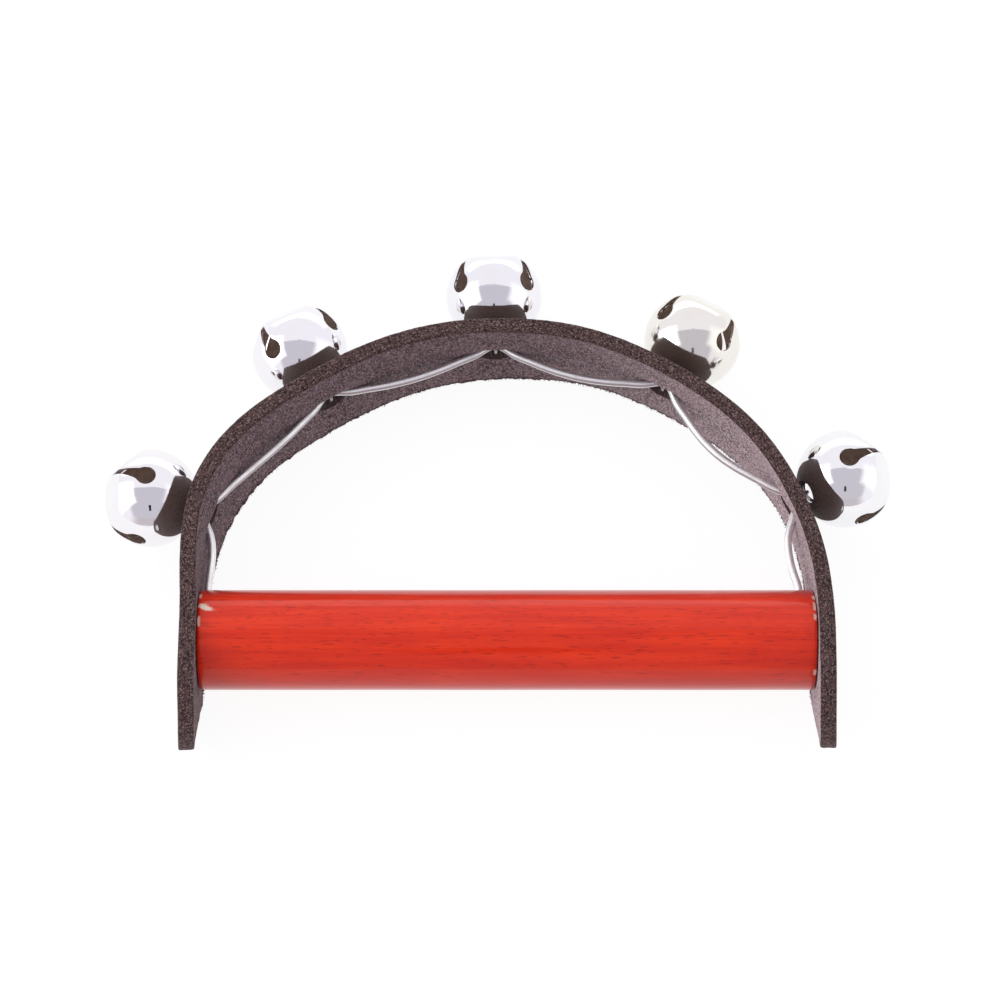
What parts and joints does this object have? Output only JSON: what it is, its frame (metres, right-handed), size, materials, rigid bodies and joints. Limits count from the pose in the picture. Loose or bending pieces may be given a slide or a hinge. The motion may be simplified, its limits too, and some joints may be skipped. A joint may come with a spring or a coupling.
{
  "type": "sleigh bells",
  "caption": "Hand-shaken sleigh bells: pellet bells threaded on a wire along a leather arch, with a lacquered round wooden handle between its legs.",
  "frame": {"origin": "under the middle of the whole object's box, on the surface that it lies on", "axes": "+X along the handle, +Y from the handle to the top of the arch, +Z across the strap, up from the surface"},
  "size_m": [0.1764, 0.119, 0.026],
  "materials": {
    "suede_leather": "dark purple-brown suede, rough",
    "red_lacquer": "beech under glossy orange-red lacquer",
    "satin_wire": "satin galvanised wire",
    "nickel_plate": "bright nickel plate",
    "plated_steel": "zinc plated",
    "ball_steel": "plain steel ball"
  },
  "bodies": {
    "frame": {"strap": "suede_leather", "handle": "red_lacquer", "wire": "satin_wire", "screw_left": "plated_steel", "screw_right": "plated_steel", "cup_washer_left": "plated_steel", "cup_washer_right": "plated_steel"},
    "bell_1": {"bell_shell_1": "nickel_plate", "bell_eye_1": "plated_steel"},
    "ball_1": {"pellet_1": "ball_steel"},
    "bell_2": {"bell_shell_2": "nickel_plate", "bell_eye_2": "plated_steel"},
    "ball_2": {"pellet_2": "ball_steel"},
    "bell_3": {"bell_shell_3": "nickel_plate", "bell_eye_3": "plated_steel"},
    "ball_3": {"pellet_3": "ball_steel"},
    "bell_4": {"bell_shell_4": "nickel_plate", "bell_eye_4": "plated_steel"},
    "ball_4": {"pellet_4": "ball_steel"},
    "bell_5": {"bell_shell_5": "nickel_plate", "bell_eye_5": "plated_steel"},
    "ball_5": {"pellet_5": "ball_steel"}
  },
  "joints": [
    {"name": "bell_rock_1", "type": "hinge", "parent": "frame", "child": "bell_1", "pos_m": [-0.06556, -0.00439, 0.013], "axis": [0.306, 0.952, 0], "range_deg": [0, 13]},
    {"name": "pellet_slide_1", "type": "slide", "parent": "bell_1", "child": "ball_1", "axis": [0, 0, 1], "range_m": [0, 0.0124]},
    {"name": "bell_rock_2", "type": "hinge", "parent": "frame", "child": "bell_2", "pos_m": [-0.03852, 0.02448, 0.013], "axis": [0.8552, 0.5184, 0], "range_deg": [0, 13]},
    {"name": "pellet_slide_2", "type": "slide", "parent": "bell_2", "child": "ball_2", "axis": [0, 0, 1], "range_m": [0, 0.0124]},
    {"name": "bell_rock_3", "type": "hinge", "parent": "frame", "child": "bell_3", "pos_m": [-0.0005, 0.0365, 0.013], "axis": [0.9995, 0.0308, 0], "range_deg": [0, 13]},
    {"name": "pellet_slide_3", "type": "slide", "parent": "bell_3", "child": "ball_3", "axis": [0, 0, 1], "range_m": [0, 0.0124]},
    {"name": "bell_rock_4", "type": "hinge", "parent": "frame", "child": "bell_4", "pos_m": [0.03815, 0.02701, 0.013], "axis": [0.8736, -0.4866, 0], "range_deg": [0, 13]},
    {"name": "pellet_slide_4", "type": "slide", "parent": "bell_4", "child": "ball_4", "axis": [0, 0, 1], "range_m": [0, 0.0124]},
    {"name": "bell_rock_5", "type": "hinge", "parent": "frame", "child": "bell_5", "pos_m": [0.0662, -0.00115, 0.013], "axis": [0.4174, -0.9087, 0], "range_deg": [0, 13]},
    {"name": "pellet_slide_5", "type": "slide", "parent": "bell_5", "child": "ball_5", "axis": [0, 0, 1], "range_m": [0, 0.0124]}
  ]
}
